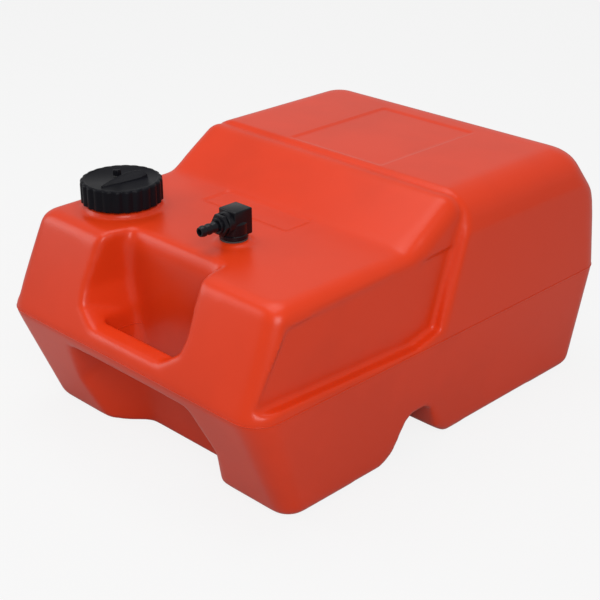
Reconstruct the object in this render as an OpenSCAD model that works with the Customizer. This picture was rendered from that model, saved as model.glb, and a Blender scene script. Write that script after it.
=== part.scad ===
// Portable outboard fuel tank: one blow-moulded shell with its filler cap, vent screw and fuel pick-up.
// +Z is up and the tank stands on z = 0. The handle end faces -Y, and the origin is under the middle.

/* [Tank body] */
// Overall length, at the waist
tank_l = 505; // [490:1:540]
// Overall width, at the waist
tank_w = 360; // [346:1:390]
// Overall height, at the rear body
tank_h = 247; // [240:1:270]
// Moulded wall
wall_t = 3; // [2:0.5:4]
// Height of the waist, where the two mould halves meet
waist_z = 113; // [106:1:118]
// Radius of the upright corners at the waist
waist_r = 27; // [22:1:36]
// How far each side draws in from the waist to the base
base_side_in = 7; // [4:0.5:12]
// How far the front draws in from the waist to the base
base_front_in = 44; // [36:1:50]
// How far the rear draws in from the waist to the base
base_rear_in = 24; // [14:1:30]
// Radius of the edge round the base
base_edge_r = 11; // [6:1:15]

/* [Deck and rear body] */
// Height of the front deck
deck_z = 207; // [202:1:212]
// How far the deck draws in at the front
deck_front_in = 35; // [28:1:42]
// How far the deck draws in at each side
deck_side_in = 10.5; // [8:0.5:13]
// Radius of the shoulder round the deck
deck_edge_r = 17; // [12:1:22]
// Distance from the front to the foot of the ramp
ramp_foot = 204; // [198:1:208]
// Slope of the ramp, in degrees
ramp_slope = 33; // [31:0.5:36]
// Radius over the top of the ramp
ramp_r = 18; // [14:1:22]
// Distance from the front to the ridge at the top of the ramp
ramp_top = 276; // [272:1:284]
// Step of the ramp below the rear body's top
ramp_step = 3; // [1.5:0.5:5]
// Distance from the front to the foot of the rear body's border
border_foot = 237; // [230:1:244]
// Height of the break in the rear wall
break_z = 198; // [180:1:204]
// How far the rear wall draws in from the waist to the break
break_in = 8; // [4:1:10]
// How far the rear body's top draws in at the rear
top_rear_in = 34; // [26:1:44]
// How far the rear body's top draws in at each side
top_side_in = 3; // [2.5:0.5:8]
// Radius of the edge round the rear body's top
top_edge_r = 34; // [24:1:38]
// Length and width of the shallow panel on the rear body's top
top_panel = [122, 143]; // [90:1:150]
// Distance from the front to the near edge of that panel
top_panel_from = 282; // [280:1:292]
// Length and width of the shallow panel on the deck
deck_panel = [117, 34]; // [20:1:120]
// Distance from the front to the near edge of that panel
deck_panel_from = 168; // [164:1:169]
// Distance from the middle, leftward, to the middle of that panel
deck_panel_left = 12; // [6:1:16]
// Depth of both shallow panels
panel_depth = 1.2; // [0.6:0.2:2]

/* [Handle and hand hole] */
// Distance from the front to the back wall of the hand hole
hand_back = 68; // [64:1:72]
// Distance from the front to the back wall of the finger channel, at the ground
channel_back = 76; // [73:1:80]
// Depth of the handle bar, front to back
bar_depth = 26; // [22:1:30]
// Height of the underside of the handle bar
bar_low_z = 98; // [92:1:102]
// Height of the top of the handle bar
bar_high_z = 128; // [122:1:132]
// Width of the hand hole, at its back
hand_w = 90; // [84:1:96]
// Width of the scoop above the bar, at its mouth
scoop_mouth_w = 174; // [160:1:180]
// Width of the scoop above the bar, at its back on the deck
scoop_back_w = 130; // [120:1:138]
// Width of the finger channel below the bar, at its mouth on the ground
channel_mouth_w = 176; // [160:1:186]
// Width of the finger channel, at its back on the ground
channel_w = 124; // [114:1:134]
// Radius of the corners at the back of the scoop and the hand hole
hand_r = 10; // [6:1:14]
// Radius of the corners at the back of the finger channel
channel_r = 16; // [10:1:20]

/* [Side recesses, strap groove and feet] */
// Depth of the recessed panel in each side, from the waist
side_depth = 13; // [11:0.5:16]
// Height of the lip under the recess, at its front end
lip_front_z = 131; // [128:1:136]
// Height of the lip under the recess, at its lowest
lip_low_z = 116; // [114:1:122]
// Height of the top of the recess, at its front end
recess_top_z = 190; // [184:1:193]
// Distance from the front to the middle of the strap groove
groove_from = 216.5; // [210:0.5:220]
// Width of the strap groove, at the ground
groove_w = 72; // [60:1:78]
// Height of the strap groove
groove_h = 47; // [36:1:54]
// Height of the arches between the feet
foot_h = 2.5; // [1.5:0.5:4]
// Length of each arch between the front feet
front_arch_l = 52; // [36:1:56]
// Length of each arch between the rear feet
rear_arch_l = 112; // [90:1:116]

/* [Filler neck and cap] */
// Place of the neck's axis: distance left of the middle
neck_left = 112.5; // [106:0.5:115]
// Place of the neck's axis: distance from the front
neck_from = 101; // [98:0.5:106]
// Outer diameter of the neck
neck_d = 60; // [52:1:64]
// Wall of the neck
neck_wall = 4.5; // [3:0.5:6]
// Height of the neck above the deck
neck_h = 22; // [20:1:26]
// Outer diameter of the collar at the foot of the neck
collar_d = 76; // [72:1:80]
// Height of the collar above the deck
collar_h = 6; // [4:1:7]
// Outer diameter of the cap, over its ribs
cap_d = 80; // [78:1:90]
// Thickness of the cap's top
cap_top_t = 5; // [4:0.5:7]
// Number of grip ribs round the cap
cap_ribs = 24; // [18:1:30]
// Height of each grip rib from the cap's skirt
cap_rib_h = 1.6; // [1:0.2:2.2]
// Wall of the cap's outer skirt
cap_skirt_t = 3; // [2:0.5:4]
// Wall of the cap's threaded inner skirt
cap_thread_t = 2.6; // [2:0.2:3.4]
// Height of the grip bar on the cap, at its high end
grip_h = 6; // [4:0.5:9]
// Width of the grip bar
grip_w = 10; // [8:0.5:11]
// Distance from the cap's axis to the middle of the grip bar
grip_off = 5; // [4.5:0.5:7]
// Thickness of the cap's gasket
gasket_t = 2; // [1.5:0.5:3]

/* [Vent screw] */
// Distance from the cap's axis to the vent screw
vent_off = 6; // [5.5:0.5:9]
// Diameter of the vent screw's shank
vent_shank_d = 4; // [3:0.5:4.5]
// Diameter of the vent screw's knob
vent_knob_d = 8; // [7:0.5:9]
// Height of the vent screw's knob
vent_knob_h = 6; // [5:0.5:9]

/* [Fuel fitting] */
// Place of the fitting's axis: distance right of the middle
fitting_right = 30.5; // [24:0.5:40]
// Place of the fitting's axis: distance from the front
fitting_from = 116.5; // [112:0.5:122]
// Outer diameter of the boss under the fitting
boss_d = 34; // [32:1:40]
// Height of the boss above the deck
boss_h = 3; // [2:0.5:5]
// Depth of the boss below the deck
boss_deep = 12; // [9:1:16]
// Outer diameter of the threaded insert in the boss
insert_d = 24; // [22:0.5:26]
// Diameter of the elbow's stem
stem_d = 16; // [14:0.5:18]
// Diameter of the elbow's round foot
elbow_foot_d = 27; // [25:0.5:29]
// Width of the elbow's square head
elbow_w = 22; // [20:0.5:24]
// Height of the elbow above its washer
elbow_h = 28; // [26:1:32]
// Diameter of the fuel passage
passage_d = 6; // [4:0.5:7]
// Outer diameter of the hose tail, over its barbs
barb_d = 10.5; // [9:0.5:12]
// Length of the hose tail past its shoulder
barb_l = 20; // [16:1:26]
// Width across flats of the hose tail's hexagon
hex_af = 19; // [17:0.5:21]
// Outer diameter of the pick-up tube
tube_d = 10; // [9:0.5:12]
// Wall of the pick-up tube
tube_wall = 1.5; // [1:0.25:2]
// Outer diameter of the strainer
strainer_d = 15; // [14:0.5:18]
// Height of the strainer
strainer_h = 24; // [20:1:32]
// Gap between the strainer and the tank's floor
floor_gap = 4; // [2:1:8]

/* [Hidden] */

eps = 0.01;
over = 1;                                  // how far a cut runs past what it cuts
slice_t = 0.2;                             // thickness of the slices that a form is stretched over
form_fn = 32;                              // sides of the rounds inside a stretched form
ball_fn = 20;                              // sides of the balls inside a stretched form
round_fn = 64;                             // sides of every true round
arc_steps = 4;                             // slices across a rounded edge
run_gap = 0.3;                             // gap between a thread's two sides, and round what turns
stem_gap = 0.05;                           // running gap between the elbow's stem and its insert
skirt_gap = 1;                             // gap between the cap's skirt and the neck's collar
no_cut = 400;                              // reach of a cut that is open to one side

front_y = -tank_l / 2;
rear_y = tank_l / 2;
waist_x = tank_w / 2;
base_x = waist_x - base_side_in;
base_front_y = front_y + base_front_in;
base_rear_y = rear_y - base_rear_in;
deck_front_y = front_y + deck_front_in;
deck_x = waist_x - deck_side_in;
top_x = waist_x - top_side_in;
ramp_foot_y = front_y + ramp_foot;
ramp_top_y = front_y + ramp_top;
border_y = front_y + border_foot;
base_r = waist_r - base_side_in;           // the upright corners draw in as the sides do
deck_r = waist_r - deck_side_in;
rear_front_r = 6;                          // small radius of the rear body's border
border_top_in = 19;                        // how far below the top the border reaches the ridge

hand_back_y = front_y + hand_back;
channel_back_y = front_y + channel_back;
bar_back_y = front_y + bar_depth;
scoop_from_y = front_y + 50;               // where the scoop's cheeks start to flare to its mouth
channel_from_y = base_front_y + 8;
channel_scale = 1.1;                       // growth of the finger channel from the bar to the ground
groove_y = front_y + groove_from;

neck_x = -neck_left;
neck_y = front_y + neck_from;
neck_r = neck_d / 2;
neck_top = deck_z + neck_h;
cap_under = neck_top + gasket_t;           // underside of the cap's top
cap_top = cap_under + cap_top_t;
cap_r = cap_d / 2;
skirt_r = cap_r - cap_rib_h;
cap_low = deck_z + collar_h + skirt_gap;
vent_x = neck_x - vent_off;
vent_y = neck_y;
vent_seal_t = 1.2;
vent_seal_wall = 1.6;

fitting_x = fitting_right;
fitting_y = front_y + fitting_from;
boss_top = deck_z + boss_h;
insert_low = deck_z - boss_deep;
washer_t = 1.5;
elbow_low = boss_top + washer_t;
elbow_top = elbow_low + elbow_h;
elbow_foot_h = 8;
barb_z = elbow_top - elbow_w / 2 - 1;      // height of the hose tail's axis
head_front_y = fitting_y - elbow_w / 2 - 2;
head_back_y = fitting_y + elbow_w / 2;
seal_t = 1;
hex_t = 4;
shoulder_t = 3;
shoulder_d = hex_af - 4;
hex_y = head_front_y - seal_t;             // face of the hexagon against its seal
shoulder_y = hex_y - hex_t;
tail_y = shoulder_y - shoulder_t;          // where the hose tail starts
barb_root_r = barb_d / 2 - 0.9;
barb_n = 3;
barb_land = 2;                             // length of each barb at its full diameter
socket_r = 5;                              // socket in the elbow's head for the hose tail's stem
socket_l = 12;
spigot_r = tube_d / 2 - tube_wall;         // spigot under the stem, which the tube is pushed on
spigot_l = 14;
stem_low = insert_low - 4;
tube_top = stem_low;
strainer_low = wall_t + floor_gap;
plug_t = 3;
strainer_base = strainer_low + plug_t;
strainer_top = strainer_base + strainer_h;
tube_low = strainer_top - 8;
window_n = 6;

// A rounded rectangle of no great thickness, in level z, drawn in all round by inset.
module slice(z, half_w, y0, y1, r_front, r_rear, inset) {
    for (side = [-1, 1], end = [[y0, r_front, 1], [y1, r_rear, -1]]) {
        r = max(end[1] - inset, 1);
        translate([side * (half_w - inset - r), end[0] + end[2] * (inset + r), z])
            cylinder(r = r, h = slice_t, $fn = form_fn);
    }
}

// Slices up a rounded edge of radius r that ends at level top; turned = -1 rounds the lower edge,
// and keep_front = 1 leaves the front edge square.
module edge(top, half_w, y0, y1, r_front, r_rear, r, inset, turned = 1, keep_front = 0) {
    e = max(r - inset, 1);
    for (i = [0 : arc_steps]) {
        a = 90 * i / arc_steps;
        in = e * (1 - cos(a));
        slice(
            top - turned * (inset + e * (1 - sin(a))) - (turned > 0 ? slice_t : 0),
            half_w, y0 - keep_front * in, y1, r_front, r_rear, inset + in
        );
    }
}

// The tub and the front deck, from the base over the waist to the deck.
module front_form(inset) {
    hull() {
        edge(0, base_x, base_front_y, base_rear_y, base_r, base_r, base_edge_r, inset, -1);
        slice(waist_z, waist_x, front_y, rear_y, waist_r, waist_r, inset);
        edge(deck_z, deck_x, deck_front_y, ramp_top_y + deck_r, deck_r, deck_r, deck_edge_r, inset);
    }
}

// The rear body, which stands a little proud of the deck and its ramp.
module rear_form(inset) {
    hull() {
        slice(waist_z, waist_x, border_y, rear_y, rear_front_r, waist_r, inset);
        for (at = [[break_z - 12, break_in - 1.5], [break_z - 1, break_in + 0.5], [break_z + 7, break_in + 7]])
            slice(
                at[0], waist_x - top_side_in / 2,
                border_y + (ramp_top_y - border_y) * (at[0] - waist_z) / (tank_h - border_top_in - waist_z),
                rear_y - at[1], rear_front_r, waist_r, inset
            );
        edge(
            tank_h, top_x, ramp_top_y, rear_y - top_rear_in,
            rear_front_r, waist_r, top_edge_r, inset, 1, 1
        );
    }
}

// Middle of a ball of radius r that touches the ramp from below, at level z.
function under_ramp(z, r) = [
    ramp_foot_y + (z - deck_z + r * cos(ramp_slope)) / tan(ramp_slope) + r * sin(ramp_slope), z,
];

// The ramp from the deck up to the rear body.
module ramp_form(inset) {
    hull() {
        for (side = [-1, 1], ball = [
            [under_ramp(deck_z - deck_edge_r - 1, deck_edge_r), deck_edge_r],
            [under_ramp(tank_h - ramp_step - ramp_r, ramp_r), ramp_r],
            [[ramp_top_y + 2 * ramp_r, waist_z + ramp_r], ramp_r],
        ])
            translate([side * (deck_x - ball[1]), ball[0][0], ball[0][1]])
                sphere(ball[1] - inset, $fn = ball_fn);
    }
}

module body_form(inset) {
    front_form(inset);
    rear_form(inset);
    ramp_form(inset);
}

// Plan of a pocket that is open to the front: half widths at mouth and back, back wall, flare, back corners.
function pocket_plan(mouth, back, back_y, from_y, r) = concat(
    [[-mouth, -no_cut], [-mouth, from_y - (mouth - back)]],
    [for (i = [0 : 4]) let (a = 180 - 22.5 * i) [-back + r + r * cos(a), back_y - r + r * sin(a)]],
    [for (i = [0 : 4]) let (a = 90 - 22.5 * i) [back - r + r * cos(a), back_y - r + r * sin(a)]],
    [[mouth, from_y - (mouth - back)], [mouth, -no_cut]]
);

// The scoop over the bar: a pocket that widens upwards, and the flare of its mouth.
module scoop(grow) {
    half = hand_w / 2 + grow;
    widen = scoop_back_w / hand_w;
    translate([0, 0, bar_high_z - grow]) {
        linear_extrude(deck_z - bar_high_z + grow, scale = [widen, 1])
            polygon(pocket_plan(half + 8, half, hand_back_y + grow, bar_back_y - 4, hand_r + grow));
        linear_extrude(no_cut)
            polygon([
                [-scoop_mouth_w / 2 - grow, -no_cut], [-scoop_mouth_w / 2 - grow, front_y + 12],
                [-half - 8, scoop_from_y + grow], [half + 8, scoop_from_y + grow],
                [scoop_mouth_w / 2 + grow, front_y + 12], [scoop_mouth_w / 2 + grow, -no_cut],
            ]);
    }
    translate([0, 0, deck_z - over])
        linear_extrude(no_cut)
            polygon(pocket_plan(
                widen * half + 8, widen * half, hand_back_y + grow, bar_back_y - 4, hand_r + grow
            ));
}

// The finger channel under the bar, which widens downwards.
module finger_channel(grow) {
    deep = (channel_back_y - hand_back_y) / (channel_scale - 1);
    from_y = hand_back_y - deep;
    translate([0, from_y, bar_low_z + grow])
        mirror([0, 0, 1])
            linear_extrude(bar_low_z + grow + over, scale = channel_scale)
                polygon(pocket_plan(
                    channel_mouth_w / 2 / channel_scale + grow, channel_w / 2 / channel_scale + grow,
                    deep + grow, channel_from_y - from_y, channel_r + grow
                ));
}

// The hand hole between scoop and channel, behind the bar.
module hand_hole(grow) {
    translate([0, 0, bar_low_z - over])
        linear_extrude(bar_high_z - bar_low_z + 2 * over)
            intersection() {
                polygon(pocket_plan(
                    hand_w / 2 + grow, hand_w / 2 + grow - eps, hand_back_y + grow, bar_back_y, hand_r + grow
                ));
                translate([-no_cut / 2, bar_back_y - grow]) square(no_cut);
            }
}

module hand_space(grow) {
    scoop(grow);
    finger_channel(grow);
    hand_hole(grow);
}

// One side's recess, seen from the side: a slanting panel over a lip.
function recess_outline(grow) = [
    [front_y + 8 - grow, lip_front_z - grow],
    [border_y - 30, lip_low_z - grow],
    [border_y - 6 + grow, lip_low_z + 6 - grow],
    [border_y + 2 + grow, lip_front_z],
    [ramp_top_y - 12 + grow, deck_z - 6],
    [ramp_top_y - 26, recess_top_z + 6 + grow],
    [front_y + 48 - grow, recess_top_z + grow],
];

module side_recess(grow) {
    for (side = [0, 1])
        mirror([side, 0, 0])
            translate([waist_x - side_depth - grow, 0, 0])
                rotate([90, 0, 90])
                    linear_extrude(no_cut)
                        polygon(recess_outline(grow));
}

// Section of the strap groove across the underside.
function groove_outline(grow) =
    let (foot = groove_w / 2 + grow, mid = foot - 5, top = foot - 18, h = groove_h + grow)
    [
        [groove_y - foot, -over], [groove_y - mid, 10], [groove_y - top, h - 5],
        [groove_y - top + 8, h], [groove_y + top - 8, h], [groove_y + top, h - 5],
        [groove_y + mid, 10], [groove_y + foot, -over],
    ];

module strap_groove(grow) {
    translate([-no_cut / 2, 0, 0])
        rotate([90, 0, 90])
            linear_extrude(no_cut)
                polygon(groove_outline(grow));
}

// A low arch between two feet, from y0 over a length.
module foot_arch(y0, length, grow) {
    translate([-no_cut / 2, y0 - grow, -over])
        cube([no_cut, length + 2 * grow, foot_h + over + grow]);
}

module shallow_panel(size, x, y0, top) {
    translate([x - size[0] / 2, y0, top - panel_depth])
        cube([size[0], size[1], 2 * panel_depth]);
}

module body_cuts(grow) {
    hand_space(grow);
    side_recess(grow);
    strap_groove(grow);
    foot_arch(base_front_y + 86, front_arch_l, grow);
    foot_arch(groove_y + groove_w / 2 + 40, rear_arch_l, grow);
}

module neck_at() {
    translate([neck_x, neck_y, 0]) children();
}

module fitting_at() {
    translate([fitting_x, fitting_y, 0]) children();
}

// Points from the fitting's axis along -Y, at the height of the hose tail.
module tail_at(y) {
    translate([fitting_x, y, barb_z]) rotate([90, 0, 0]) children();
}

module tank_shell() {
    color("orangered")
        difference() {
            union() {
                difference() {
                    body_form(0);
                    body_cuts(0);
                    shallow_panel(top_panel, 0, front_y + top_panel_from, tank_h);
                    shallow_panel(deck_panel, -deck_panel_left, front_y + deck_panel_from, deck_z);
                }
                neck_at() {
                    translate([0, 0, deck_z - wall_t - over])
                        cylinder(d = neck_d, h = neck_h + wall_t + over, $fn = round_fn);
                    translate([0, 0, deck_z - wall_t - over])
                        cylinder(d = collar_d, h = collar_h + wall_t + over, $fn = round_fn);
                }
                fitting_at()
                    translate([0, 0, insert_low])
                        cylinder(d = boss_d, h = boss_top - insert_low, $fn = round_fn);
            }
            difference() {
                body_form(wall_t);
                body_cuts(wall_t);
                fitting_at()
                    translate([0, 0, insert_low])
                        cylinder(d = boss_d, h = boss_top - insert_low, $fn = round_fn);
            }
            neck_at()
                translate([0, 0, deck_z - 2 * wall_t - over])
                    cylinder(d = neck_d - 2 * neck_wall, h = neck_h + 3 * wall_t + over, $fn = round_fn);
            fitting_at()
                translate([0, 0, insert_low - over])
                    cylinder(d = insert_d, h = boss_top - insert_low + 2 * over, $fn = round_fn);
        }
}

// The wedge on the cap, which a hand turns it by: low towards the front, high towards the rear.
module grip_bar() {
    reach = skirt_r - 10;
    translate([neck_x + grip_off - grip_w / 2, neck_y, cap_top - over])
        rotate([90, 0, 90])
            linear_extrude(grip_w)
                polygon([[-reach, 0], [-reach, 2], [reach - 3, grip_h], [reach, grip_h - 2], [reach, 0]]);
}

module filler_cap() {
    color([0.12, 0.12, 0.13])
        difference() {
            union() {
                neck_at() {
                    translate([0, 0, cap_low])
                        cylinder(r = skirt_r, h = cap_top - cap_low, $fn = round_fn);
                    for (i = [0 : cap_ribs - 1])
                        rotate([0, 0, 360 * i / cap_ribs])
                            translate([skirt_r - 1, 0, cap_low + 1])
                                cylinder(r = cap_rib_h + 1, h = cap_top - cap_low - 2, $fn = 16);
                }
                grip_bar();
            }
            neck_at() {
                translate([0, 0, cap_low - over])
                    difference() {
                        cylinder(r = skirt_r - cap_skirt_t, h = cap_under - cap_low + over, $fn = round_fn);
                        cylinder(
                            r = neck_r + run_gap + cap_thread_t,
                            h = cap_under - cap_low + over, $fn = round_fn
                        );
                    }
                translate([0, 0, cap_low - over])
                    cylinder(r = neck_r + run_gap, h = cap_under - cap_low + over, $fn = round_fn);
            }
            translate([vent_x, vent_y, cap_under - over])
                cylinder(d = vent_shank_d + 2 * stem_gap, h = cap_top_t + 2 * over, $fn = round_fn);
        }
}

module cap_gasket() {
    color([0.2, 0.2, 0.2])
        neck_at()
            translate([0, 0, neck_top])
                difference() {
                    cylinder(r = neck_r - run_gap, h = gasket_t, $fn = round_fn);
                    translate([0, 0, -over])
                        cylinder(r = neck_r - neck_wall - 1, h = gasket_t + 2 * over, $fn = round_fn);
                }
}

module vent_screw() {
    color([0.1, 0.1, 0.1])
        translate([vent_x, vent_y, 0])
            difference() {
                union() {
                    translate([0, 0, cap_under - 4])
                        cylinder(d = vent_shank_d, h = cap_top_t + vent_seal_t + 4 + over, $fn = round_fn);
                    translate([0, 0, cap_top + vent_seal_t])
                        cylinder(d = vent_knob_d, h = vent_knob_h, $fn = round_fn);
                }
                for (i = [0 : 7])
                    rotate([0, 0, 45 * i])
                        translate([vent_knob_d / 2 + 0.3, 0, cap_top + vent_seal_t + 1])
                            cylinder(d = 1.6, h = vent_knob_h, $fn = 16);
            }
}

module vent_seal() {
    color([0.2, 0.2, 0.2])
        translate([vent_x, vent_y, cap_top])
            difference() {
                cylinder(d = vent_shank_d + 2 * vent_seal_wall, h = vent_seal_t, $fn = round_fn);
                translate([0, 0, -over])
                    cylinder(d = vent_shank_d + 2 * stem_gap, h = vent_seal_t + 2 * over, $fn = round_fn);
            }
}

module boss_insert() {
    color("goldenrod")
        fitting_at()
            translate([0, 0, insert_low])
                difference() {
                    cylinder(d = insert_d, h = boss_top - insert_low, $fn = round_fn);
                    translate([0, 0, -over])
                        cylinder(d = stem_d + 2 * stem_gap, h = boss_top - insert_low + 2 * over, $fn = round_fn);
                }
}

module elbow_washer() {
    color([0.2, 0.2, 0.2])
        fitting_at()
            translate([0, 0, boss_top])
                difference() {
                    cylinder(d = elbow_foot_d - 1, h = washer_t, $fn = round_fn);
                    translate([0, 0, -over])
                        cylinder(d = stem_d + 2 * stem_gap, h = washer_t + 2 * over, $fn = round_fn);
                }
}

module elbow() {
    color([0.1, 0.1, 0.11])
        difference() {
            union() {
                fitting_at() {
                    translate([0, 0, stem_low - spigot_l])
                        cylinder(r = spigot_r, h = spigot_l + over, $fn = round_fn);
                    translate([0, 0, stem_low])
                        cylinder(d = stem_d, h = elbow_low - stem_low + over, $fn = round_fn);
                    translate([0, 0, elbow_low])
                        cylinder(d = elbow_foot_d, h = elbow_foot_h, $fn = round_fn);
                }
                translate([fitting_x - elbow_w / 2, head_front_y, elbow_low + over])
                    cube([elbow_w, head_back_y - head_front_y, elbow_h - over]);
            }
            fitting_at()
                translate([0, 0, stem_low - spigot_l - over])
                    cylinder(d = passage_d - 2, h = barb_z - stem_low + spigot_l + over, $fn = round_fn);
            tail_at(head_front_y + socket_l)
                cylinder(r = socket_r + stem_gap, h = socket_l + over, $fn = round_fn);
            tail_at(fitting_y + 1)
                cylinder(d = passage_d, h = head_back_y - head_front_y, $fn = round_fn);
        }
}

module barb_seal() {
    color([0.2, 0.2, 0.2])
        tail_at(head_front_y)
            difference() {
                cylinder(d = shoulder_d, h = seal_t, $fn = round_fn);
                translate([0, 0, -over])
                    cylinder(r = socket_r + stem_gap, h = seal_t + 2 * over, $fn = round_fn);
            }
}

// Half section of the hose tail, as pairs of radius and distance from its root.
function tail_profile() = concat(
    [[0, 0], [barb_root_r, 0]],
    [for (i = [0 : barb_n - 1]) let (step = barb_l / barb_n)
        each [[barb_root_r, step * i + 0.5], [barb_d / 2, step * i + 1.5],
              [barb_d / 2, step * i + 1.5 + barb_land], [barb_root_r, step * (i + 1) - 0.5]]],
    [[barb_root_r, barb_l], [0, barb_l]]
);

module hose_barb() {
    color([0.1, 0.1, 0.11])
        difference() {
            union() {
                tail_at(head_front_y + socket_l - 1)
                    cylinder(r = socket_r, h = socket_l - 1 + seal_t + over, $fn = round_fn);
                tail_at(hex_y)
                    rotate([0, 0, 30])
                        cylinder(d = hex_af / cos(30), h = hex_t, $fn = 6);
                tail_at(shoulder_y + over)
                    cylinder(d = shoulder_d, h = shoulder_t + over, $fn = round_fn);
                tail_at(tail_y)
                    rotate_extrude($fn = round_fn)
                        polygon(tail_profile());
            }
            tail_at(head_front_y + socket_l + over)
                cylinder(d = passage_d, h = no_cut / 4, $fn = round_fn);
        }
}

module pickup_tube() {
    color([0.9, 0.9, 0.88])
        fitting_at()
            translate([0, 0, tube_low])
                difference() {
                    cylinder(d = tube_d, h = tube_top - tube_low, $fn = round_fn);
                    translate([0, 0, -over])
                        cylinder(d = tube_d - 2 * tube_wall, h = tube_top - tube_low + 2 * over, $fn = round_fn);
                }
}

module strainer() {
    wall = 1.5;
    color([0.85, 0.85, 0.8])
        fitting_at()
            difference() {
                translate([0, 0, strainer_base])
                    cylinder(d = strainer_d, h = strainer_h, $fn = round_fn);
                translate([0, 0, strainer_base - over])
                    cylinder(d = strainer_d - 2 * wall, h = strainer_h - 8 + over, $fn = round_fn);
                translate([0, 0, strainer_top - 8 - over])
                    cylinder(d = tube_d, h = 8 + 2 * over, $fn = round_fn);
                for (i = [0 : window_n / 2 - 1])
                    rotate([0, 0, 360 / window_n * i])
                        translate([-strainer_d, -1.5, strainer_base + 3])
                            cube([2 * strainer_d, 3, strainer_h - 14]);
            }
}

module strainer_plug() {
    color([0.3, 0.3, 0.3])
        fitting_at()
            translate([0, 0, strainer_low])
                union() {
                    cylinder(d = strainer_d, h = plug_t, $fn = round_fn);
                    cylinder(d = strainer_d - 3, h = plug_t + 2, $fn = round_fn);
                }
}

tank_shell();
filler_cap();
cap_gasket();
vent_screw();
vent_seal();
boss_insert();
elbow_washer();
elbow();
barb_seal();
hose_barb();
pickup_tube();
strainer();
strainer_plug();
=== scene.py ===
"""Portable outboard fuel tank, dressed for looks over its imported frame.

One blow-moulded shell with its filler cap, vent screw and hose elbow. Metres, in the frame's own axes:
+Z is up, the tank stands on z = 0, and the carry bar faces -Y.
"""
import math
from collections import namedtuple

import bmesh
import bpy
from bpy.props import FloatProperty, FloatVectorProperty, IntProperty, PointerProperty
from bpy.types import Operator, Panel, PropertyGroup
from mathutils import Matrix, Vector


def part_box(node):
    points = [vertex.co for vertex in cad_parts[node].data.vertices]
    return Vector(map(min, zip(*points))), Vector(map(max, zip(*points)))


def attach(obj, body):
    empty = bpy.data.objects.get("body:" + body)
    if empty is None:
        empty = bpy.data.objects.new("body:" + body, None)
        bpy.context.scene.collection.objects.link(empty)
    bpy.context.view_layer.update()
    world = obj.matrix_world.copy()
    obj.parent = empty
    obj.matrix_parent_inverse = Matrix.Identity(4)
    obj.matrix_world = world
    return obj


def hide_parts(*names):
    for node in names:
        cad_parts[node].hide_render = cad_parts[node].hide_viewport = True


bl_info = {
    "name": "Outboard Fuel Tank",
    "version": (1, 0, 0),
    "blender": (4, 5, 0),
    "location": "3D View > Sidebar > Fuel Tank",
    "description": "Models and finishes a portable outboard fuel tank over its frame",
    "category": "Object",
}

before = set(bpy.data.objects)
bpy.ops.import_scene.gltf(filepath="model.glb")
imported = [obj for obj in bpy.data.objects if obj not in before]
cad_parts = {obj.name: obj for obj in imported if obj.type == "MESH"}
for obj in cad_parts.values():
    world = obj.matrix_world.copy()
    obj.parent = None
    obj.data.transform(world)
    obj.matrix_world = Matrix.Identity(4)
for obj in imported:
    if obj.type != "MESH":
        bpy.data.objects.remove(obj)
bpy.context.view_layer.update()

MM = 0.001
ROUND = 40            # points round a corner of a form
AIR = 0.4             # how far a cutter reaches into the open
QUARTER = math.pi / 2
FULL = 2 * math.pi

NECK_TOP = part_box("cap_gasket")[0].z
CAP_LOW, CAP_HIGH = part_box("filler_cap")
VENT_LOW, VENT_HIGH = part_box("vent_screw")
ELBOW_LOW, ELBOW_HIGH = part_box("elbow")
TAIL_LOW, TAIL_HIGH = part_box("hose_barb")
WASHER_LOW, WASHER_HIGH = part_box("elbow_washer")
GASKET_LOW, GASKET_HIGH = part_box("cap_gasket")
NECK_X, NECK_Y = (GASKET_LOW.x + GASKET_HIGH.x) / 2, (GASKET_LOW.y + GASKET_HIGH.y) / 2
FIT_X, FIT_Y = (WASHER_LOW.x + WASHER_HIGH.x) / 2, (WASHER_LOW.y + WASHER_HIGH.y) / 2


def mm(value, name, text):
    """A length property whose default is given in millimetres."""
    return FloatProperty(name=name, description=text, default=value * MM, unit="LENGTH", precision=4)


def angle(value, name, text):
    """An angle property whose default is given in degrees."""
    return FloatProperty(name=name, description=text, default=math.radians(value), subtype="ANGLE")


def amount(value, name, text):
    """A plain number."""
    return FloatProperty(name=name, description=text, default=value)


def tint(value, name, text):
    """A colour property."""
    return FloatVectorProperty(
        name=name, description=text, default=value, subtype="COLOR", size=3, min=0, max=1)


# ------ sizes and colours

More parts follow.
